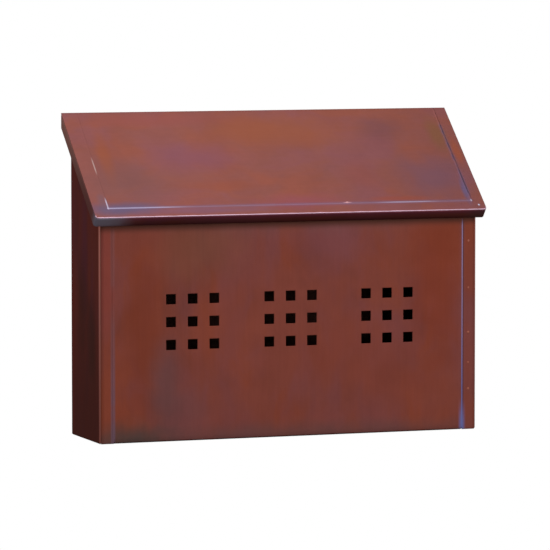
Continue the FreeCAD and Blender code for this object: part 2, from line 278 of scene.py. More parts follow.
class Wire:
    """A node's output, which the usual signs calculate with."""

    def __init__(self, tree, socket):
        self.tree = tree
        self.socket = socket

    __add__ = sign("ADD")
    __sub__ = sign("SUBTRACT")
    __rsub__ = sign("SUBTRACT", turned=True)
    __mul__ = sign("MULTIPLY")
    __truediv__ = sign("DIVIDE")
    __rtruediv__ = sign("DIVIDE", turned=True)
    __abs__ = sign("ABSOLUTE")
    maximum = sign("MAXIMUM")

    def step(self, low, high, start=0.0, end=1.0):
        """Smooth step from start to end as this value goes from low to high."""
        inputs = [self, low, high, start, end]
        return add(self.tree, "ShaderNodeMapRange", inputs, interpolation_type="SMOOTHSTEP")[0]

    def fade(self, low, high, start=1.0):
        """Smooth step down to 0 as this value goes from low to high."""
        return self.step(low, high, start, 0.0)

    def vector(self, operation, *others):
        return add(self.tree, "ShaderNodeVectorMath", [self, *others], operation=operation)

    def scaled(self, factor):
        inputs = {0: self, "Scale": factor}
        return add(self.tree, "ShaderNodeVectorMath", inputs, operation="SCALE")[0]

    def parts(self):
        """X, Y and Z of a vector."""
        made = add(self.tree, "ShaderNodeSeparateXYZ", [self])
        return made["X"], made["Y"], made["Z"]

    def noise(self, size, detail, roughness=0.55, output="Fac"):
        """Noise with patches of about the given size in metres."""
        inputs = {"Vector": self, "Scale": 1.0 / size, "Detail": detail, "Roughness": roughness}
        return add(self.tree, "ShaderNodeTexNoise", inputs)[output]

    def mix(self, first, second):
        """First colour where this mask is 0 and second where it is 1."""
        inputs = {0: self, 6: linear(first), 7: linear(second)}
        return add(self.tree, "ShaderNodeMix", inputs, data_type="RGBA")[2]


class Outputs:
    """A node's outputs as wires, by name or number."""

    def __init__(self, tree, made):
        self.tree = tree
        self.made = made

    def __getitem__(self, key):
        return Wire(self.tree, self.made.outputs[key])


def feed(tree, made, inputs):
    """Links a node's inputs to wires, or to each wire of a list, or sets their own values."""
    for key, value in inputs.items() if isinstance(inputs, dict) else enumerate(inputs):
        for each in value if isinstance(value, list) else [value]:
            if isinstance(each, Wire):
                tree.links.new(each.socket, made.inputs[key])
            else:
                made.inputs[key].default_value = each


def add(tree, kind, inputs=(), **settings):
    """Adds a node with its properties and inputs set, and returns its outputs."""
    made = tree.nodes.new(kind)
    for name, value in settings.items():
        setattr(made, name, value)
    feed(tree, made, inputs)
    return Outputs(tree, made)


def spaced(values):
    """Inputs by name, from keywords in which underscores stand for spaces."""
    return {name.replace("_", " "): value for name, value in values.items()}


def use_group(tree, group, **inputs):
    return add(tree, "ShaderNodeGroup", spaced(inputs), node_tree=group)


def geometry(tree, kind, **inputs):
    return add(tree, "GeometryNode" + kind, spaced(inputs))[0]


def node_tree(name, kind, inputs, outputs):
    """Puts in a function's place the node tree that it builds.

    Each row of inputs or outputs is a kind of socket and the names of those of that kind. The
    function takes the tree and its inputs as wires, and gives back its outputs by name.
    """
    tree = bpy.data.node_groups.new(name, kind + "NodeTree")
    for side, rows in (("INPUT", inputs), ("OUTPUT", outputs)):
        for socket, *labels in rows:
            for label in labels:
                tree.interface.new_socket(label, in_out=side, socket_type="NodeSocket" + socket)

    def built(build):
        results = build(tree, add(tree, "NodeGroupInput"))
        feed(tree, tree.nodes.new("NodeGroupOutput"), results)
        return tree

    return built


def run_tree(made, tree, values):
    """Runs a Geometry Nodes tree on a piece, its inputs set by their identifiers."""
    modifier = made.modifiers.new(tree.name, "NODES")
    modifier.node_group = tree
    for item in tree.interface.items_tree:
        if item.item_type == "SOCKET" and item.in_out == "INPUT" and item.name in values:
            modifier[item.identifier] = values[item.name]
    plain_copy(made)


def linear(colour):
    """Linear colour from display values of 0 to 255; a wire stays as it is."""
    if isinstance(colour, Wire):
        return colour
    shares = [value / 255 for value in colour]
    return (*[s / 12.92 if s <= 0.04045 else ((s + 0.055) / 1.055) ** 2.4 for s in shares], 1.0)


# ---- Front panel
SEAM_RIDGE = 0.12 * MM
WELD_INSET = 8.0 * MM  # from the box's side to the row of weld marks
WELD_HEIGHTS = [39.2, 64.6, 93.7, 136.8, 181.8]
CUT_CLEARANCE = 0.35 * MM  # no grid line is closer to a saw cut than this

weld_places = [(half_width - WELD_INSET, front_y, base_z + h * MM) for h in WELD_HEIGHTS]


def window_centres():
    """X of every window column and Z of every window row."""
    steps = [k - (WINDOW_COUNT - 1) / 2 for k in range(WINDOW_COUNT)]
    columns = [
        group * WINDOW_GROUP_SPACING + column * WINDOW_PITCH for group in steps for column in steps
    ]
    return columns, [window_z + row * WINDOW_PITCH for row in steps]


def flat_point(x, z):
    """Point of the front panel's face with its partner behind it."""
    return (Vector((x, front_y, z)), Vector((x, front_y + sheet, z)))


def turned_point(x, centre_y, centre_z, angle, radius):
    """Point on a fold around an axis along X; angle 0 faces -Y and 90 degrees faces -Z."""
    away = Vector((0, -math.cos(angle), -math.sin(angle)))
    centre = Vector((x, centre_y, centre_z))
    return (centre + away * radius, centre + away * (radius - sheet))


def front_grid(spans_x):
    """Columns of the front's grid: close beside the seams, on the saw cuts and clear of windows."""
    fine = [(place, *BESIDE_RIDGE) for place in (left_seam_x, seam_x)]
    cuts = [side * x for side in (-1, 1) for x in (inner_half, inner_half + SLIT)]
    xs = grid_lines(-panel_half, panel_half, GRID, fine, spans_x)
    return sorted([x for x in xs if all(abs(x - cut) > CUT_CLEARANCE for cut in cuts)] + cuts)


def front_skin():
    columns, rows = window_centres()
    reach = WINDOW_SIDE / 2 + WINDOW_MARGIN
    spans_x = [(x - reach, x + reach) for x in columns]
    spans_z = [(z - reach, z + reach) for z in rows]
    fold_y = front_y + fold
    fold_z = base_z + fold
    flat_top = front_top - fold
    xs = front_grid(spans_x)
    zs = grid_lines(fold_z, flat_top, GRID, (), spans_z)
    skin = Skin()

    def is_sheet(i, j):
        x = (xs[j] + xs[j + 1]) / 2
        z = (zs[i] + zs[i + 1]) / 2
        return not (any(a < x < b for a, b in spans_x) and any(a < z < b for a, b in spans_z))

    skin.patch([[flat_point(x, z) for x in xs] for z in zs], is_sheet)
    middle = [x for x in xs if abs(x) <= inner_half + TINY]
    for side in (1, -1):
        end = [x for x in xs if side * x >= inner_half + SLIT - TINY]
        for span in ((base_z, fold_z), (flat_top, front_top)):
            skin.patch([[flat_point(x, z) for x in end] for z in span])
    skin.patch([[turned_point(x, fold_y, fold_z, a, fold) for x in middle] for a in arc()])
    lip = spread(fold_y, front_y + FLOOR_FLANGE, 4)
    skin.patch([[(Vector((x, y, base_z)), Vector((x, y, base_z + sheet))) for x in middle] for y in lip])
    crown = HEM_GAP / 2 + sheet
    top = front_top - crown
    hem_y = front_y + crown
    over = arc(-2 * QUARTER, 12)
    skin.patch([[flat_point(x, z) for x in middle] for z in (flat_top, top)])
    skin.patch([[turned_point(x, hem_y, top, a, crown) for x in middle] for a in over])
    leg_y = hem_y + crown
    leg = spread(top, front_top - HEM_HEIGHT, 4)
    skin.patch([[(Vector((x, leg_y, z)), Vector((x, leg_y - sheet, z))) for x in middle] for z in leg])
    return skin


def window_reveal():
    """Edge of one punched window: the flat ring, the eased corners and the cut faces."""
    half = WINDOW_SIDE / 2
    slant = EASED_EDGE * (1 - math.sqrt(0.5))
    near = [
        (half + WINDOW_MARGIN, 0), (half + EASED_EDGE, 0), (half + slant, slant), (half, EASED_EDGE),
    ]
    profile = near + [(reach, sheet - depth) for reach, depth in reversed(near)]
    corners = ((-1, -1), (1, -1), (1, 1), (-1, 1))
    places = [(right * reach, depth, up * reach) for reach, depth in profile for right, up in corners]
    faces = [
        (ring + k, ring + (k + 1) % 4, ring + (k + 1) % 4 + 4, ring + k + 4)
        for ring in range(0, len(places) - 4, 4)
        for k in range(4)
    ]
    return add_object("window_reveal", new_mesh("window_reveal", places, faces))


@node_tree("punched_windows", "Geometry", [
    ("Geometry", "Sheet"),
    ("Object", "Reveal"),
    ("Int", "Count"),
    ("Float", "Pitch", "Group Spacing"),
    ("Vector", "Centre"),
    ("Material", "Material"),
], [("Geometry", "Sheet")])
def window_tree(tree, given):
    """Rows and columns of window reveals in groups, joined to the sheet they pierce."""
    count = given["Count"]
    spacing = given["Group Spacing"]
    gaps = count - 1.0
    span = gaps * given["Pitch"]
    lattice = geometry(tree, "MeshGrid", Size_X=span, Size_Y=span, Vertices_X=count, Vertices_Y=count)
    upright = geometry(tree, "Transform", Geometry=lattice, Rotation=(QUARTER, 0, 0))
    start = add(tree, "ShaderNodeCombineXYZ", {"X": gaps * spacing * -0.5})[0]
    step = add(tree, "ShaderNodeCombineXYZ", {"X": spacing})[0]
    row = geometry(tree, "MeshLine", Count=count, Start_Location=start, Offset=step)
    groups = geometry(tree, "InstanceOnPoints", Points=row, Instance=upright)
    spots = geometry(tree, "RealizeInstances", Geometry=groups)
    shape = add(tree, "GeometryNodeObjectInfo", {"Object": given["Reveal"]})["Geometry"]
    reveals = geometry(tree, "InstanceOnPoints", Points=spots, Instance=shape)
    placed = geometry(tree, "Transform", Geometry=reveals, Translation=given["Centre"])
    real = geometry(tree, "RealizeInstances", Geometry=placed)
    joined = geometry(tree, "JoinGeometry", Geometry=[given["Sheet"], real])
    merged = geometry(tree, "MergeByDistance", Geometry=joined, Distance=JOIN_CELL)
    dressed = geometry(tree, "SetMaterial", Geometry=merged, Material=given["Material"])
    return {"Sheet": dressed}


def front_move(place):
    """Gentle bow of the sheet, and the flanges' edges showing through it."""
    if place.y > front_y + 1.5 * sheet:
        return Vector()
    above = place.z - base_z
    inside = ramp(seam_x - abs(place.x), 0, 25 * MM)
    inside *= ramp(above, 15 * MM, 45 * MM) * ramp(front_top - place.z, 9 * MM, 35 * MM)
    out = SHEET_WAVE * inside * (0.5 + drift(place.x / WAVE_LENGTH, 4.7, place.z / WAVE_LENGTH))
    seam = seam_x if place.x > 0 else left_seam_x
    out += SEAM_RIDGE * bell(place.x - seam, 0.6 * MM) * ramp(above, 0, 4 * MM)
    return Vector((0, -out, 0))


def front_panel(material):
    columns, rows = window_centres()
    reach = WINDOW_SIDE / 2 + WINDOW_MARGIN + JOIN_CELL

    def at_window(place):
        near_column = any(abs(place.x - x) < reach for x in columns)
        return near_column and any(abs(place.z - z) < reach for z in rows)

    made = add_object("front_panel_skin", front_skin().solid("front_panel_skin", at_window))
    reveal = window_reveal()
    run_tree(made, window_tree, {
        "Reveal": reveal,
        "Count": WINDOW_COUNT,
        "Pitch": WINDOW_PITCH,
        "Group Spacing": WINDOW_GROUP_SPACING,
        "Centre": (0.0, front_y, window_z),
        "Material": material,
    })
    bpy.data.objects.remove(reveal)
    ease_edges(made)
    move_points(made.data, front_move)
    finish_piece(made, "box", "front_copper", material, "front_panel")


# ---- Side panels
SIDE_ROWS = 53  # from the notch up to the slope
SIDE_BENDS = arc(QUARTER, 5)


def seat_z(y):
    """Height of the sloping plane that the panels' top edges reach, at depth y."""
    return front_top + (y - front_y) * math.tan(slope)


def side_skin(side):
    """Tray with flanges at the front, bottom and rear, rounded folds and a sloping top."""
    skin = Skin()
    front_axis = front_y + sheet + fold
    rear_axis = back_y - sheet - fold
    axis_x = half_width - fold
    low = base_z + fold
    ys = grid_lines(front_axis, rear_axis, GRID)
    inward = grid_lines(0, flange - fold, 3 * MM)
    rows = range(SIDE_ROWS + 1)

    def column(y):
        """Heights of the rows at depth y: the fold's axis, then evenly from the notch upwards."""
        return [low] + spread(low + CORNER_RELIEF, seat_z(y), SIDE_ROWS)

    def shell(x, y, z, nx, ny, nz):
        """Point at a place inside the folds' axes, pushed out by the fold's radius."""
        away = Vector((side * nx, ny, nz))
        core = Vector((side * x, y, z))
        return (core + away * fold, core + away * (fold - sheet))

    skin.patch([[shell(axis_x, y, column(y)[k], 1, 0, 0) for y in ys] for k in rows])
    for axis_y, facing in ((front_axis, -1), (rear_axis, 1)):
        def bent(angle, k):
            across = facing * math.sin(angle)
            z = column(axis_y + across * fold)[k]
            return shell(axis_x, axis_y, z, math.cos(angle), across, 0)

        def rounded(a, b):
            across = facing * math.sin(a) * math.cos(b)
            return shell(axis_x, axis_y, low, math.cos(a) * math.cos(b), across, -math.sin(b))

        def flanged(d, k):
            return shell(axis_x - d, axis_y, column(axis_y + facing * fold)[k], 0, facing, 0)

        skin.patch([[bent(a, k) for a in SIDE_BENDS] for k in rows])
        skin.patch([[flanged(d, k) for d in inward] for k in rows], lambda i, j: i > 0)
        skin.patch([[rounded(a, b) for a in SIDE_BENDS] for b in SIDE_BENDS])
    skin.patch([
        [shell(axis_x, y, low, math.cos(b), 0, -math.sin(b)) for y in ys] for b in SIDE_BENDS
    ])
    start = front_axis + CORNER_RELIEF
    stop = rear_axis - CORNER_RELIEF
    floor_ys = [start] + [y for y in ys if start < y < stop] + [stop]
    skin.patch([[shell(axis_x - d, y, low, 0, 0, -1) for y in floor_ys] for d in inward])
    return skin


def side_panel(side, material):
    name = "side_panel_left" if side < 0 else "side_panel_right"
    made = add_object(name + "_skin", side_skin(side).solid(name))
    ease_edges(made)

    def bow(place):
        if abs(place.x) < half_width - 1.2 * sheet:
            return Vector()
        inside = ramp(place.y - front_y - sheet, 6 * MM, 25 * MM)
        inside *= ramp(back_y - sheet - place.y, 6 * MM, 25 * MM)
        inside *= ramp(place.z - base_z, 6 * MM, 40 * MM)
        inside *= ramp(seat_z(place.y) - place.z, 0, 30 * MM)
        wave = 0.4 + drift(2.1 * side, place.y / (60 * MM), place.z / WAVE_LENGTH)
        return Vector((side * SHEET_WAVE * inside * wave, 0, 0))

    move_points(made.data, bow)
    finish_piece(made, "box", "side_copper", material, name)


# ---- Lid
LID_LINE = 12.5 * MM  # the rim's flange shows through this far from the edges
LEFT_LINE = 15.0 * MM  # the left flange is a little wider
LID_RIDGE = 0.14 * MM
LID_EASED_EDGE = 0.28 * MM
solder_places = [(57.0 * MM, -LID_LENGTH + 13.4 * MM), (lid_half - 6.4 * MM, -LID_LENGTH + 6.4 * MM)]


def tilted(x, y, z=0.0):
    """Place on the box of a point of the flat lid, whose rear edge is at y 0."""
    cosine = math.cos(slope)
    sine = math.sin(slope)
    return Vector((x, lid_rear_y + y * cosine - z * sine, lid_rear_z + y * sine + z * cosine))


def rounded_corner(x, y):
    """Slides a point of the square sheet inwards where the front corners are rounded."""
    across = (abs(x) - (lid_half - LID_CORNER)) / LID_CORNER
    along = ((LID_CORNER - LID_LENGTH) - y) / LID_CORNER
    if across <= 0 or along <= 0:
        return x, y
    reach = max(across, along) * LID_CORNER
    angle = math.atan2(along, across)
    new_x = lid_half - LID_CORNER + reach * math.cos(angle)
    return math.copysign(new_x, x), LID_CORNER - LID_LENGTH - reach * math.sin(angle)


def lid_height(x, y):
    """How far the plate's top stands above its plane: ridges over the rim's edge and a soft bow."""
    from_front = y + LID_LENGTH
    from_side = lid_half - abs(x)
    line = LEFT_LINE if x < 0 else LID_LINE
    ridge_front = bell(from_front - LID_LINE, 0.55 * MM) * ramp(from_side, line - 2 * MM, line)
    ridge_side = bell(from_side - line, 0.55 * MM) * ramp(from_front, LID_LINE - 2 * MM, LID_LINE)
    ridge = LID_RIDGE * max(ridge_front, ridge_side) * ramp(-y, 0, 6 * MM)
    inside = ramp(from_front, LID_LINE, LID_LINE + 25 * MM) * ramp(from_side, LID_LINE, LID_LINE + 25 * MM)
    inside *= ramp(-y, 3 * MM, 25 * MM)
    return ridge + 1.2 * SHEET_WAVE * inside * (0.5 + drift(x / WAVE_LENGTH, y / WAVE_LENGTH, 8.3))


def lid_plate(material):
    corner_lines = (LID_CORNER, LID_CORNER / 6)
    fine_x = [(place, *BESIDE_RIDGE) for place in (LEFT_LINE - lid_half, lid_half - LID_LINE)]
    fine_x += [(side * lid_half, *corner_lines) for side in (-1, 1)]
    fine_y = [(LID_LINE - LID_LENGTH, *BESIDE_RIDGE), (-LID_LENGTH, *corner_lines)]
    xs = grid_lines(-lid_half, lid_half, GRID, fine_x)
    ys = grid_lines(-LID_LENGTH, 0, GRID, fine_y)

    def pair(x, y):
        x, y = rounded_corner(x, y)
        rise = lid_height(x, y)
        back = sheet * math.tan(slope) if y > -TINY else 0.0
        return (tilted(x, y, rise), tilted(x, y - back, rise - sheet))

    def edge_distance(place):
        y = (place.y - lid_rear_y) / math.cos(slope)
        return min(lid_half - abs(place.x), y + LID_LENGTH, -y)

    skin = Skin()
    skin.patch([[pair(x, y) for x in xs] for y in ys])
    made = add_object("lid_plate_skin", skin.solid("lid_plate_skin"))
    ease_edges(made, LID_EASED_EDGE, 3)
    attribute = made.data.attributes.new("edge_distance", "FLOAT", "POINT")
    attribute.data.foreach_set("value", [edge_distance(v.co) for v in made.data.vertices])
    finish_piece(made, "lid", "lid_copper", material, "lid_plate")


def rim_profile():
    """Outline of the rim, inner flange edge to lower skirt edge: (inset, height) of both faces."""
    top = -sheet
    radius = 2 * sheet
    skirt = top - radius
    insets = [radius + (RIM_FLANGE - radius) * share for share in (1.0, 0.75, 0.5, 0.25)]
    pairs = [((inset, top), (inset, top - sheet)) for inset in insets]
    for angle in arc():
        pairs.append(tuple(
            (radius - r * math.sin(angle), skirt + r * math.cos(angle)) for r in (radius, radius - sheet)
        ))
    heights = [skirt + (-RIM_DEPTH - skirt) * share for share in (0.33, 0.67, 1.0)]
    return pairs + [((0.0, height), (sheet, height)) for height in heights]


def rim_place(inset, height, share, angle, side):
    """Point of the rim: share runs from the rear to the corner, angle then turns the corner."""
    radius = max(LID_CORNER - inset, 0.0)
    reach = max(inset, LID_CORNER)
    rear = height * math.tan(slope)
    turn_y = reach - LID_LENGTH
    x = lid_half - reach + radius * math.cos(angle)
    y = rear + (turn_y - rear) * share if share < 1 else turn_y - radius * math.sin(angle)
    return tilted(side * x, y, height)


def rim_row(share, angle, side):
    return [
        (rim_place(*outer, share, angle, side), rim_place(*inner, share, angle, side))
        for outer, inner in rim_profile()
    ]


def rim_piece(name, rows, material):
    skin = Skin()
    skin.patch(rows)
    made = add_object(name + "_skin", skin.solid(name))
    ease_edges(made)
    finish_piece(made, "lid", "rim_copper", material, name)


def side_rim(side, material):
    rows = [rim_row(share, 0.0, side) for share in spread(0, 1, 31)[:-1]]
    rows += [rim_row(1.0, angle, side) for angle in arc(QUARTER / 2, 4)]
    rim_piece("lid_rim_left" if side < 0 else "lid_rim_right", rows, material)


def front_rim(material):
    corner = spread(QUARTER / 2, QUARTER, 5)
    left = rim_row(1.0, QUARTER, -1)
    right = rim_row(1.0, QUARTER, 1)
    rows = [rim_row(1.0, angle, -1) for angle in corner]
    for share in spread(0, 1, 81)[1:-1]:
        rows.append([
            tuple(a.lerp(b, share) for a, b in zip(start, end)) for start, end in zip(left, right)
        ])
    rows += [rim_row(1.0, angle, 1) for angle in reversed(corner)]
    rim_piece("lid_rim_front", rows, material)


# ---- Rivets and spot welds
RIVET_HEAD = 3.2 * MM
RIVET_HEAD_HEIGHT = 1.5 * MM
RIVET_TAIL = 2.4 * MM
RIVET_TAIL_HEIGHT = 1.3 * MM
RIVET_SHANK = 1.6 * MM
RIVET_DISH = 0.42 * RIVET_TAIL  # hollow in the end of the set tail
RAIL_SHEET = 1.2 * MM
LEAF_SHEET = 0.8 * MM
WELD_RADIUS = 1.15 * MM
WELD_RISE = 0.13 * MM
LATHE_STEPS = 28


def lathed(name, profile):
    """Shape turned about Y from (radius, y) pairs; both ends close on the axis."""
    places = []
    rings = []
    for radius, y in profile:
        angles = arc(4 * QUARTER, LATHE_STEPS)[:-1] if radius > 0 else [0.0]
        rings.append(range(len(places), len(places) + len(angles)))
        places += [(radius * math.cos(a), y, radius * math.sin(a)) for a in angles]
    faces = []
    for low, high in zip(rings, rings[1:]):
        for i in range(LATHE_STEPS):
            j = (i + 1) % LATHE_STEPS
            quad = [low[i % len(low)], low[j % len(low)], high[j % len(high)], high[i % len(high)]]
            faces.append([v for k, v in enumerate(quad) if v != quad[k - 1]])
    return add_object(name, new_mesh(name, places, faces))


def rivet_shape(grip):
    """Domed head towards -Y on the face at y 0, and a set tail on the face at y grip."""
    bend = arc(QUARTER, 7)
    hollow = RIVET_TAIL - RIVET_DISH
    profile = [(RIVET_HEAD * math.sin(a), -RIVET_HEAD_HEIGHT * math.cos(a)) for a in bend]
    profile += [(RIVET_SHANK, 0), (RIVET_SHANK, grip)]
    profile += [
        (RIVET_TAIL - hollow * (1 - math.cos(a)), grip + RIVET_TAIL_HEIGHT * math.sin(a)) for a in bend
    ]
    profile += [(RIVET_DISH * 0.55, grip + RIVET_TAIL_HEIGHT * 0.9), (0, grip + RIVET_TAIL_HEIGHT * 0.84)]
    return lathed("rivet_shape", profile[::-1])


def weld_shape():
    """Low rounded spot, with its back sunk in the sheet."""
    profile = [(0, sheet / 2), (WELD_RADIUS * 0.9, sheet / 2)]
    profile += [(WELD_RADIUS * math.cos(a), -WELD_RISE * math.sin(a)) for a in arc(QUARTER, 4)[:-1]]
    return lathed("weld_shape", profile + [(0, -WELD_RISE)])


@node_tree("set_on_points", "Geometry", [
    ("Geometry", "Points"),
    ("Object", "Shape"),
    ("Vector", "Tilt"),
    ("Float", "Smallest", "Largest"),
    ("Int", "Seed"),
    ("Material", "Material"),
], [("Geometry", "Pieces")])
def set_tree(tree, given):
    """One shape on every point, each turned about its own axis and sized a little differently."""
    def random_value(low, high):
        inputs = {2: low, 3: high, "Seed": given["Seed"]}
        return add(tree, "FunctionNodeRandomValue", inputs, data_type="FLOAT")[1]

    def rotated(pieces, turn):
        return geometry(tree, "RotateInstances", Instances=pieces, Rotation=turn, Local_Space=True)

    shape = add(tree, "GeometryNodeObjectInfo", {"Object": given["Shape"]})["Geometry"]
    size = random_value(given["Smallest"], given["Largest"])
    spin = add(tree, "ShaderNodeCombineXYZ", {"Y": random_value(0.0, 4 * QUARTER)})[0]
    placed = geometry(tree, "InstanceOnPoints", Points=given["Points"], Instance=shape, Scale=size)
    turned = rotated(rotated(placed, given["Tilt"]), spin)
    real = geometry(tree, "RealizeInstances", Geometry=turned)
    dressed = geometry(tree, "SetMaterial", Geometry=real, Material=given["Material"])
    return {"Pieces": dressed}


def set_on_points(name, places, shape, material, seed, sizes=(1.0, 1.0), tilt=0.0):
    """A piece made of one shape at every place."""
    made = add_object(name, new_mesh("places", places))
    run_tree(made, set_tree, {
        "Shape": shape,
        "Tilt": (tilt, 0.0, 0.0),
        "Smallest": sizes[0],
        "Largest": sizes[1],
        "Seed": seed,
        "Material": material,
    })
    bpy.data.objects.remove(shape)
    return made


def rivets(name, columns, rows, grip, material, seed):
    """Rivets in columns and rows within the box of a CAD node, their heads inside the box."""
    low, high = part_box(name)
    xs = spread(low.x + RIVET_HEAD, high.x - RIVET_HEAD, columns)
    zs = spread(low.z + RIVET_HEAD, high.z - RIVET_HEAD, rows)
    places = [(x, back_y - sheet, z) for x in xs for z in zs]
    made = set_on_points(name + "_set", places, rivet_shape(grip), material, seed)
    finish_piece(made, "box", "rivet_copper", material, name)


def spot_welds(material):
    made = set_on_points("spot_welds_front", weld_places, weld_shape(), material, 4, (0.8, 1.15))
    finish_piece(made, "box", "front_copper", material)
    places = [tilted(x, y) for x, y in solder_places]
    turn = slope - QUARTER
    made = set_on_points("spot_welds_lid", places, weld_shape(), material, 9, (1.0, 1.3), turn)
    finish_piece(made, "lid", "lid_copper", material)


# ---- Shared effects
MOTTLE_SIZE = 5 * MM


@node_tree("copper_patina", "Shader", [
    ("Vector", "Vector"),
    ("Color", "Base", "Warm", "Mauve", "Dark"),
    ("Float", "Warm Share", "Mauve Share", "Dark Share", "Patch Size", "Mottle"),
], [("Color", "Color")])
def patina(tree, given):
    """Soft patches of brown, mauve and dark oxide over the copper, with fine mottling."""
    size = given["Patch Size"]
    wander = given["Vector"].noise(size, 2.0, output="Color").vector("SUBTRACT", (0.5, 0.5, 0.5))[0]
    warped = given["Vector"].vector("ADD", wander.scaled(size))[0]
    colour = given["Base"]
    layers = (
        ("Warm", (0.0, 0.0, 0.0), 0.45, 0.62),
        ("Mauve", (3.1, 7.7, 1.3), 0.46, 0.66),
        ("Dark", (8.3, 2.9, 5.1), 0.50, 0.72),
    )
    for tint, shift, low, high in layers:
        patches = warped.vector("ADD", shift)[0].noise(size, 4.0)
        mask = patches.step(low, high) * given[tint + " Share"]
        colour = mask.mix(colour, given[tint])
    speck = given["Vector"].noise(MOTTLE_SIZE, 5.0, 0.65)
    return {"Color": colour.scaled((speck - 0.5) * given["Mottle"] + 1.0)}


@node_tree("heat_line", "Shader", [
    ("Float", "Distance", "Along", "Width", "Halo Width", "Break Size", "Presence"),
], [("Float", "Line", "Halo")])
def heat_line(tree, given):
    """Broken line of heat colours along a seam, and a soft halo beside it."""
    away = abs(given["Distance"])
    core = away.fade(given["Width"] * 0.35, given["Width"])
    wide = away.fade(0.0, given["Halo Width"])
    inputs = {"W": given["Along"] / given["Break Size"], "Scale": 1.0, "Detail": 3.0}
    run = add(tree, "ShaderNodeTexNoise", inputs, noise_dimensions="1D")["Fac"]
    limit = 0.75 - given["Presence"] * 0.5
    there = run.step(limit - 0.1, limit + 0.1)
    return {"Line": core * there, "Halo": wide * there}


@node_tree("tint_zone", "Shader", [
    ("Vector", "Vector", "Centre", "Reach"),
    ("Float", "Waver", "Amount"),
], [("Float", "Zone")])
def tint_zone(tree, given):
    """Soft-edged oval where a tint gathers."""
    away = given["Vector"].vector("SUBTRACT", given["Centre"])[0]
    share = away.vector("DIVIDE", given["Reach"])[0].vector("LENGTH")["Value"]
    ripple = (given["Vector"].noise(30 * MM, 4.0) - 0.5) * given["Waver"]
    return {"Zone": (share + ripple).fade(0.15, 1.0) * given["Amount"]}


@node_tree("satin_lacquer", "Shader", [
    ("Vector", "Vector", "Streak Vector"),
    ("Float", "Roughness", "Spread"),
], [("Float", "Roughness", "Height", "Streaks")])
def lacquer(tree, given):
    """Satin lacquer: uneven gloss, brushed streaks and a faint orange-peel height."""
    broad = given["Vector"].noise(35 * MM, 4.0)
    streaks = given["Streak Vector"].noise(3 * MM, 4.0, 0.6)
    peel = given["Vector"].noise(1.6 * MM, 2.0)
    uneven = broad + streaks * 0.5 - 0.75
    return {
        "Roughness": given["Roughness"] + uneven * given["Spread"],
        "Height": peel * 0.4 + streaks * 0.6,
        "Streaks": streaks,
    }


@node_tree("rubbed_edge", "Shader", [
    ("Vector", "Vector"),
    ("Float", "Distance", "Width"),
], [("Float", "Rub")])
def rubbed_edge(tree, given):
    """Painted highlight band along an edge, its width wavering with noise."""
    width = given["Width"] * (given["Vector"].noise(9 * MM, 4.0) + 0.5)
    return {"Rub": given["Distance"].fade(width * 0.4, width)}


# ---- Materials
METALLIC = 0.75
MOTTLE = 0.16
WAVER = 0.7
EDGE_TINT = (0.55, 0.34, 0.30, 1.0)  # what the bare metal reflects at a grazing angle
SEAM_MAUVE = (164, 144, 190)
SEAM_BLUE = (120, 124, 190)
HEAT_BLUE = (126, 132, 200)
# pale pink-lavender of the painted highlight along the lid's front edge
EDGE_HIGHLIGHT = (246, 206, 230)
INSIDE_SHADE = (84, 52, 44)  # painted shade: the closed box's inner faces made darker
MIDDLE = 10 * MM  # left and right lid lines change over within this


class Finish:
    """A copper material in the making: its tree, coordinates and running colour."""

    def __init__(self, name, colours, shares, patch, stretch=(1, 1, 1)):
        """colours are display values of the base and its warm, mauve and dark patches."""
        self.material = bpy.data.materials.new(name)
        self.material.use_nodes = True
        self.tree = self.material.node_tree
        self.where = add(self.tree, "ShaderNodeTexCoord")["Object"]
        base, warm, mauve, dark = [linear(colour) for colour in colours]
        self.colour = use_group(
            self.tree, patina, Vector=self.mapped(stretch), Base=base, Warm=warm, Mauve=mauve,
            Dark=dark, Warm_Share=shares[0], Mauve_Share=shares[1], Dark_Share=shares[2],
            Patch_Size=patch, Mottle=MOTTLE,
        )["Color"]

    def mapped(self, scale, place=(0, 0, 0), turn=(0, 0, 0), kind="POINT"):
        inputs = {"Vector": self.where, "Location": place, "Rotation": turn, "Scale": scale}
        return add(self.tree, "ShaderNodeMapping", inputs, vector_type=kind)["Vector"]

    def on_lid(self):
        """Coordinates on the flat lid: X along the hinge, Y from the rear edge, Z outwards."""
        return self.mapped((1, 1, 1), (0, lid_rear_y, lid_rear_z), (slope, 0, 0), "TEXTURE")

    def tint(self, mask, colour):
        self.colour = mask.mix(self.colour, colour)

    def zones(self, vector, zones):
        """Tints gathered in soft ovals: (centre, reach, colour, amount)."""
        for centre, reach, colour, amount in zones:
            oval = {"Vector": vector, "Centre": centre, "Reach": reach, "Amount": amount}
            self.tint(use_group(self.tree, tint_zone, **oval, Waver=WAVER)["Zone"], colour)

    def heat(self, distance, along, width, halo, breaks, presence):
        """Line and halo masks of a heat line, broken into runs about as long as breaks."""
        made = use_group(
            self.tree, heat_line, Distance=distance, Along=along, Width=width, Halo_Width=halo,
            Break_Size=breaks, Presence=presence,
        )
        return made["Line"], made["Halo"]

    def lacquered(self, roughness, spread, streak_scale, bump=0.05 * MM, streaks=0.02):
        """Sets the gloss and the fine relief, and ends the material."""
        made = use_group(
            self.tree, lacquer, Vector=self.where, Streak_Vector=self.mapped(streak_scale),
            Roughness=roughness, Spread=spread,
        )
        shade = made["Streaks"].step(0.3, 0.7, 1 - streaks, 1 + streaks)
        relief = {"Distance": bump, "Strength": 0.5, "Height": made["Height"]}
        feed(self.tree, self.tree.nodes["Principled BSDF"], {
            "Base Color": self.colour.scaled(shade),
            "Roughness": made["Roughness"],
            "Normal": add(self.tree, "ShaderNodeBump", relief)["Normal"],
            "Metallic": METALLIC,
            "Specular Tint": EDGE_TINT,
            "Coat Weight": 0.06,
            "Coat Roughness": 0.35,
        })
        return self.material


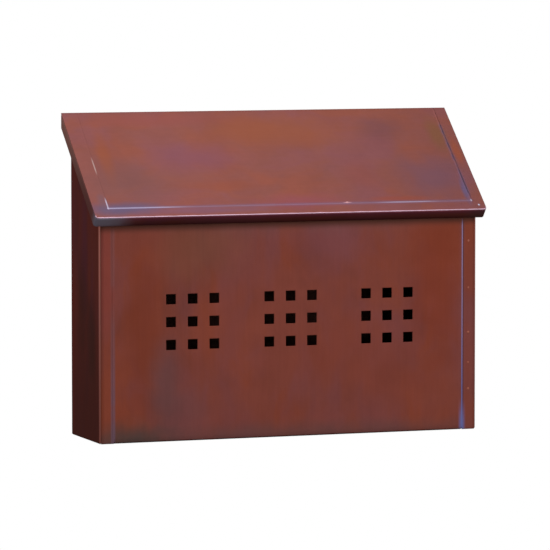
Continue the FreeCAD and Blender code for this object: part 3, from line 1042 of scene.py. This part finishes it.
FRONT_ZONES = [
    ((0.150, front_y, 0.000), (0.045, 1, 0.130), (151, 69, 48), 0.85),
    ((0.110, front_y, -0.100), (0.060, 1, 0.050), (152, 74, 54), 0.6),
    ((-0.146, front_y, -0.040), (0.028, 1, 0.120), (146, 69, 49), 0.75),
    ((-0.183, front_y, 0.010), (0.010, 1, 0.110), (164, 76, 62), 0.6),
    ((-0.090, front_y, 0.035), (0.060, 1, 0.050), (148, 90, 70), 0.6),
    ((0.035, front_y, 0.040), (0.060, 1, 0.050), (144, 84, 90), 0.65),
    ((-0.125, front_y, -0.100), (0.024, 1, 0.064), (122, 84, 86), 0.62),
    ((-0.108, front_y, -0.122), (0.036, 1, 0.036), (132, 84, 84), 0.45),
    ((-0.060, front_y, -0.045), (0.060, 1, 0.050), (160, 82, 66), 0.5),
    ((0.060, front_y, -0.070), (0.090, 1, 0.050), (154, 76, 60), 0.5),
    ((0.0, front_y, front_top), (0.260, 1, 0.034), (130, 90, 90), 0.6),
    ((0.0, front_y, base_z), (0.300, 1, 0.020), (122, 80, 78), 0.75),
    ((-0.155, front_y, base_z), (0.055, 1, 0.030), (94, 78, 74), 0.9),
]


def front_finish():
    made = Finish(
        "front_copper", [(152, 79, 66), (160, 78, 54), (143, 82, 84), (112, 62, 56)],
        (0.7, 0.6, 0.35), 60 * MM, (1, 1, 0.45),
    )
    made.zones(made.where, FRONT_ZONES)
    x, y, z = made.where.parts()
    right = x - seam_x
    low = z.fade(base_z + 4 * MM, base_z + 32 * MM)
    lower = z.fade(base_z + 30 * MM, base_z + 130 * MM)
    dark, _ = made.heat(right - 1.2 * MM, z, width=0.9 * MM, halo=2 * MM, breaks=60 * MM, presence=1.0)
    made.tint(dark * 0.75, (84, 46, 50))
    line, halo = made.heat(right, z, width=0.8 * MM, halo=4.5 * MM, breaks=40 * MM, presence=0.95)
    made.tint(halo * 0.4, (140, 88, 92))
    made.tint(line, lower.mix(SEAM_MAUVE, SEAM_BLUE))
    made.tint(halo * (low * 0.9), HEAT_BLUE)
    left = x - left_seam_x
    dull, _ = made.heat(left, z, width=3.0 * MM, halo=5 * MM, breaks=45 * MM, presence=0.7)
    made.tint(dull * 0.45, (142, 94, 96))
    made.tint(dull * (lower * 0.5), (118, 100, 126))
    # Painted shadow of the lid on the front panel's top: darker brown over the band just under the lid.
    painted_lid_shadow = z.step(front_top - 24.5 * MM, front_top - 15.5 * MM)
    made.tint(painted_lid_shadow, (88, 50, 40))
    # Painted shade on the front panel's inner face.
    made.tint(y.step(front_y + 0.5 * sheet, front_y + 0.9 * sheet), INSIDE_SHADE)
    return made.lacquered(0.42, 0.18, (1, 1, 0.05), streaks=0.035)


SIDE_ZONES = [
    ((-half_width, back_y - 0.004, -0.010), (1, 0.012, 0.200), (166, 64, 54), 0.7),
    ((-half_width, -0.058, 0.030), (1, 0.018, 0.090), (142, 74, 100), 0.6),
    ((-half_width, front_y + 0.022, -0.060), (1, 0.018, 0.060), (92, 64, 54), 0.6),
    ((half_width, front_y + 0.050, -0.020), (1, 0.026, 0.080), (98, 60, 50), 0.6),
    ((half_width, -0.020, 0.050), (1, 0.020, 0.080), (146, 80, 98), 0.5),
]


def side_finish():
    made = Finish(
        "side_copper", [(162, 78, 71), (166, 76, 60), (140, 74, 92), (116, 62, 56)],
        (0.5, 0.7, 0.4), 45 * MM, (1, 1, 0.25),
    )
    x, y, z = made.where.parts()
    # Painted shade: the side panels darken towards the bottom.
    made.tint(z.fade(base_z + 10 * MM, base_z + 170 * MM, 0.7), (110, 58, 52))
    made.zones(made.where, SIDE_ZONES)
    # Painted shade on the side panels' inner faces behind the front.
    inner_face = abs(x).fade(half_width - 0.9 * sheet, half_width - 0.6 * sheet)
    behind = y.step(front_y + 1.5 * sheet, front_y + 2.5 * sheet)
    made.tint(inner_face * behind, INSIDE_SHADE)
    # Painted highlight on the rounded front fold, stronger towards the top.
    corner = y.fade(front_y + sheet, front_y + sheet + 1.4 * fold)
    painted_fold_highlight = z.step(base_z, front_top, 0.4, 0.95)
    made.tint(corner * painted_fold_highlight, (228, 150, 136))
    return made.lacquered(0.40, 0.16, (1, 1, 0.04), streaks=0.05)


LID_ZONES = [
    ((0.010, -0.030, 0), (0.120, 0.032, 1), (160, 91, 66), 0.75),
    ((-0.110, -0.012, 0), (0.100, 0.014, 1), (158, 86, 80), 0.6),
    ((-0.168, -0.065, 0), (0.010, 0.055, 1), (160, 88, 62), 0.75),
    ((0.176, -0.038, 0), (0.014, 0.036, 1), (142, 96, 66), 0.75),
    ((0.190, -0.062, 0), (0.006, 0.028, 1), (172, 90, 62), 0.7),
    ((-0.082, -0.066, 0), (0.066, 0.028, 1), (140, 87, 106), 0.62),
    ((0.119, -0.028, 0), (0.036, 0.025, 1), (126, 80, 84), 0.45),
    ((0.155, -0.098, 0), (0.050, 0.045, 1), (126, 88, 104), 0.7),
    ((-0.150, -0.100, 0), (0.060, 0.045, 1), (132, 88, 88), 0.6),
    ((-0.060, -0.104, 0), (0.060, 0.012, 1), (156, 85, 66), 0.65),
    ((0.080, -0.092, 0), (0.030, 0.030, 1), (154, 85, 76), 0.5),
    ((0.110, -0.126, 0), (0.040, 0.005, 1), (166, 84, 66), 0.6),
    ((0.010, -0.128, 0), (0.060, 0.016, 1), (156, 84, 96), 0.65),
    ((-0.168, 0.011 - LID_LENGTH, 0), (0.050, 0.013, 1), (106, 94, 126), 0.9),
    ((-0.185, 0.020 - LID_LENGTH, 0), (0.007, 0.016, 1), (116, 98, 116), 0.5),
    ((-0.090, 0.007 - LID_LENGTH, 0), (0.090, 0.006, 1), (138, 96, 122), 0.6),
    ((0.1815, 0.026 - LID_LENGTH, 0), (0.005, 0.024, 1), (110, 100, 142), 0.75),
]


def lid_lines(made, flat):
    """Heat lines over the rim's flange, with painted highlights where its ridge catches light: along the
    front, up the sides and in the two corners.
    """
    x, y, _ = flat.parts()
    right = x.step(-MIDDLE, MIDDLE)
    from_front = y + LID_LENGTH
    front_side = from_front - LID_LINE
    from_line = lid_half - abs(x) - x.step(-MIDDLE, MIDDLE, LEFT_LINE, LID_LINE)
    within_sides = from_line.step(-1.6 * MM, -0.6 * MM)
    within_front = from_front.step(LID_LINE - 1.6 * MM, LID_LINE - 0.6 * MM)
    line, halo = made.heat(front_side, x, width=1.2 * MM, halo=3.6 * MM, breaks=40 * MM, presence=0.95)
    # Runs where the front line carries a strong painted highlight of the ridge over its heat tint.
    left_run = x.fade(-0.135, -0.095)
    right_run = x.step(0.080, 0.110) * x.fade(0.130, 0.155, 0.8)
    clear = left_run.maximum(right_run) * 0.56 + 0.12
    made.tint(halo * within_sides * 0.45, (130, 104, 138))
    made.tint(line * within_sides * clear, (198, 188, 222))
    line, halo = made.heat(from_line, y, width=1.0 * MM, halo=3.2 * MM, breaks=30 * MM, presence=0.55)
    made.tint(halo * right * within_front * 0.45, (118, 104, 148))
    made.tint(line * right * within_front, (92, 72, 92))
    # Pale marks in the corners and a short run up the left line: heat tint and a painted highlight of the
    # ridge.
    near_side_line = abs(from_line).fade(0.3 * MM, 0.9 * MM)
    reach = x.step(-MIDDLE, MIDDLE, 16 * MM, 2.2 * MM)
    vee = near_side_line * front_side.fade(reach * 0.5, reach) * within_front
    made.tint(vee * 0.8, (214, 204, 228))
    left_line_run = y.step(-0.088, -0.078) * y.fade(-0.070, -0.060)
    made.tint(near_side_line * left_line_run * (1.0 - right) * 0.55, (216, 190, 186))
    return from_front


def lid_finish():
    made = Finish(
        "lid_copper", [(150, 89, 82), (160, 88, 68), (144, 89, 100), (130, 83, 80)],
        (0.55, 0.5, 0.3), 60 * MM, (0.7, 1, 1),
    )
    flat = made.on_lid()
    made.zones(flat, LID_ZONES)
    from_front = lid_lines(made, flat)
    made.zones(flat, [((*solder_places[0], 0), (0.0055, 0.0011, 1), (236, 180, 190), 0.9)])
    # Painted highlight along the lid's front edge, fading out away from the front.
    edge = add(made.tree, "ShaderNodeAttribute", attribute_name="edge_distance")["Fac"]
    edge_highlight = use_group(made.tree, rubbed_edge, Vector=made.where, Distance=edge, Width=1.3 * MM)["Rub"]
    made.tint(edge_highlight * from_front.fade(2 * MM, 4 * MM), EDGE_HIGHLIGHT)
    return made.lacquered(0.36, 0.18, (0.05, 1, 1))


def rim_finish():
    made = Finish(
        "rim_copper", [(142, 70, 64), (150, 72, 56), (126, 70, 88), (92, 52, 50)],
        (0.4, 0.6, 0.4), 40 * MM, (0.5, 1, 1),
    )
    flat = made.on_lid()
    x, y, z = flat.parts()
    made.tint(z.step(-0.6 * RIM_DEPTH, -0.2 * RIM_DEPTH, 0.0, 0.6), (158, 74, 98))
    made.tint(z.fade(-RIM_DEPTH, -0.4 * RIM_DEPTH, 0.65), (88, 48, 46))
    # Painted light on the left skirt: made much paler, most towards the rear.
    left_skirt_painted_light = x.fade(0.2 * MM - lid_half, 0.9 * MM - lid_half, 0.9)
    rearward = y.step(-0.9 * LID_LENGTH, -0.05 * LID_LENGTH)
    made.tint(left_skirt_painted_light, rearward.mix((164, 108, 104), (234, 174, 162)))
    made.zones(flat, [
        ((-lid_half, -LID_LENGTH, -0.003), (0.050, 0.014, 1), (176, 170, 192), 0.95),
        ((lid_half, -LID_LENGTH, -0.006), (0.030, 0.020, 1), (96, 84, 82), 0.4),
    ])
    return made.lacquered(0.42, 0.15, (0.05, 1, 1))


def back_finish():
    """Rear panel and floor: duller and browner, with water marks running down, and painted shade on the
    inner faces.
    """
    made = Finish(
        "back_copper", [(146, 82, 68), (156, 86, 60), (128, 82, 84), (98, 62, 54)],
        (0.6, 0.5, 0.6), 55 * MM, (1, 1, 0.35),
    )
    made.zones(made.where, [
        ((-0.06, back_y, -0.11), (0.10, 1, 0.05), (112, 72, 66), 0.6),
        ((0.10, back_y, 0.08), (0.09, 1, 0.06), (162, 92, 66), 0.5),
        ((0.0, back_y, base_z), (0.30, 1, 0.03), (104, 76, 70), 0.6),
    ])
    _, y, z = made.where.parts()
    # Painted shade on the inside faces above the floor.
    before = y.fade(back_y - 0.9 * sheet, back_y - 0.5 * sheet)
    above = z.step(base_z + 1.05 * sheet, base_z + 1.3 * sheet)
    made.tint(before * above, INSIDE_SHADE)
    return made.lacquered(0.48, 0.2, (1, 1, 0.04))


def rail_finish():
    made = Finish(
        "rail_copper", [(138, 82, 70), (152, 88, 64), (120, 82, 88), (88, 58, 52)],
        (0.6, 0.5, 0.6), 30 * MM, (1, 1, 0.4),
    )
    made.zones(made.where, [((0, 0, 0), (1, 0.0035, 0.12), (172, 110, 90), 0.35)])
    return made.lacquered(0.46, 0.2, (1, 1, 0.05))


def rivet_finish():
    made = Finish(
        "rivet_copper", [(168, 98, 78), (180, 104, 72), (138, 92, 96), (84, 54, 48)],
        (0.6, 0.5, 0.5), 4 * MM,
    )
    return made.lacquered(0.36, 0.2, (1, 1, 1), 0.03 * MM)


def weld_finish():
    made = Finish(
        "weld_copper", [(190, 112, 92), (204, 120, 92), (176, 118, 124), (140, 80, 70)],
        (0.5, 0.5, 0.3), 2 * MM,
    )
    made.zones(made.where, [
        (tilted(*solder_places[0]), (0.004, 0.004, 0.004), (240, 184, 190), 0.9),
        (tilted(*solder_places[1]), (0.005, 0.005, 0.005), (212, 206, 232), 0.95),
    ])
    return made.lacquered(0.38, 0.15, (1, 1, 1), 0.02 * MM)


def brass_finish():
    made = Finish(
        "hinge_brass", [(176, 130, 74), (188, 132, 62), (140, 104, 82), (92, 68, 46)],
        (0.5, 0.4, 0.6), 12 * MM, (0.3, 1, 1),
    )
    return made.lacquered(0.34, 0.18, (0.04, 1, 1), 0.03 * MM)


def steel_finish():
    made = Finish(
        "pin_steel", [(150, 148, 146), (132, 120, 108), (128, 130, 138), (88, 82, 78)],
        (0.4, 0.4, 0.4), 6 * MM, (0.3, 1, 1),
    )
    return made.lacquered(0.3, 0.15, (1, 0.1, 0.1), 0.02 * MM)


def dress(material, *names):
    """Gives carried-over frame nodes their finish."""
    for name in names:
        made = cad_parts[name]
        made.data.materials.clear()
        made.data.materials.append(material)


# ---- Camera, lights and floor
CAMERA_LENS = 276.5
CAMERA_SENSOR = 36.0
CAMERA_AIM = Vector((0.0001, -0.060, 0.0004))
CAMERA_DISTANCE = 4.0366
CAMERA_AZIMUTH = math.radians(-20.02)
CAMERA_ELEVATION = math.radians(4.48)
CLIP_END = 1000.0
FLOOR_DROP = 0.55
FLOOR_HALF = 300.0


def camera():
    data = bpy.data.cameras.new("camera")
    data.lens = CAMERA_LENS
    data.sensor_width = CAMERA_SENSOR
    data.clip_end = CLIP_END
    made = add_object("camera", data)
    level = math.cos(CAMERA_ELEVATION)
    towards = Vector((
        math.sin(CAMERA_AZIMUTH) * level,
        -math.cos(CAMERA_AZIMUTH) * level,
        math.sin(CAMERA_ELEVATION),
    ))
    made.location = CAMERA_AIM + towards * CAMERA_DISTANCE
    made.rotation_euler = towards.to_track_quat("Z", "Y").to_euler()
    bpy.context.scene.camera = made


def soft_box(name, place, width, height, radiance):
    """Rectangular soft light aimed at the box; radiance is what a mirror would see in it."""
    data = bpy.data.lights.new(name, "AREA")
    data.shape = "RECTANGLE"
    data.size = width
    data.size_y = height
    data.energy = radiance * math.pi * width * height
    made = add_object(name, data)
    made.location = place
    made.rotation_euler = (Vector(place) - CAMERA_AIM).to_track_quat("Z", "Y").to_euler()
    made.visible_camera = False


def studio_world():
    """Even pale surroundings, brighter overhead and darker behind to the left."""
    world = bpy.data.worlds.new("studio")
    world.use_nodes = True
    tree = world.node_tree
    direction = add(tree, "ShaderNodeTexCoord")["Generated"]
    height = direction.parts()[2].step(-0.95, 0.15, 0.10, 0.34)
    behind_left = direction.vector("DOT_PRODUCT", (-0.5, 0.86, -0.1))["Value"]
    shade = behind_left.step(0.45, 0.95, 1.0, 0.48)
    inputs = {"Color": (1.0, 0.97, 0.95, 1.0), "Strength": height * shade}
    feed(tree, tree.nodes["Background"], inputs)
    bpy.context.scene.world = world


def lights():
    soft_box("light_top", (0.02, -0.40, 1.70), width=1.9, height=2.3, radiance=0.84)
    soft_box("light_front", (1.25, -3.10, 0.45), width=2.0, height=2.4, radiance=0.69)
    soft_box("light_back", (1.25, 2.9, 0.8), width=2.6, height=2.4, radiance=1.25)
    studio_world()
    bpy.context.scene.view_settings.view_transform = "Standard"


def floor():
    """Pale floor well below the box, evenly lit from within like a light table."""
    corners = ((-1, -1), (1, -1), (1, 1), (-1, 1))
    places = [(x * FLOOR_HALF, y * FLOOR_HALF, base_z - FLOOR_DROP) for x, y in corners]
    made = add_object("floor", new_mesh("floor", places, [(0, 1, 2, 3)]))
    material = bpy.data.materials.new("floor_white")
    material.use_nodes = True
    feed(material.node_tree, material.node_tree.nodes["Principled BSDF"], {
        "Base Color": (0.0, 0.0, 0.0, 1.0),
        "Roughness": 1.0,
        "Specular IOR Level": 0.0,
        "Emission Color": (1.0, 1.0, 1.0, 1.0),
        "Emission Strength": 1.0,
    })
    made.data.materials.append(material)
    made.visible_diffuse = False
    made.visible_glossy = False


# ---- Everything together
camera()
lights()
floor()

front_panel(front_finish())
side_material = side_finish()
side_panel(-1, side_material)
side_panel(1, side_material)
lid_plate(lid_finish())
rim_material = rim_finish()
side_rim(-1, rim_material)
side_rim(1, rim_material)
front_rim(rim_material)

rivet_material = rivet_finish()
rivets("rail_rivets_left", 2, 3, sheet + RAIL_SHEET, rivet_material, 2)
rivets("rail_rivets_right", 2, 3, sheet + RAIL_SHEET, rivet_material, 3)
rivets("hinge_rivets", 7, 1, sheet + LEAF_SHEET, rivet_material, 5)
spot_welds(weld_finish())

dress(back_finish(), "back_panel", "floor_panel")
dress(rail_finish(), "mounting_rail_left", "mounting_rail_right")
dress(brass_finish(), "hinge_leaf_box", "hinge_leaf_lid")
dress(steel_finish(), "hinge_pin")
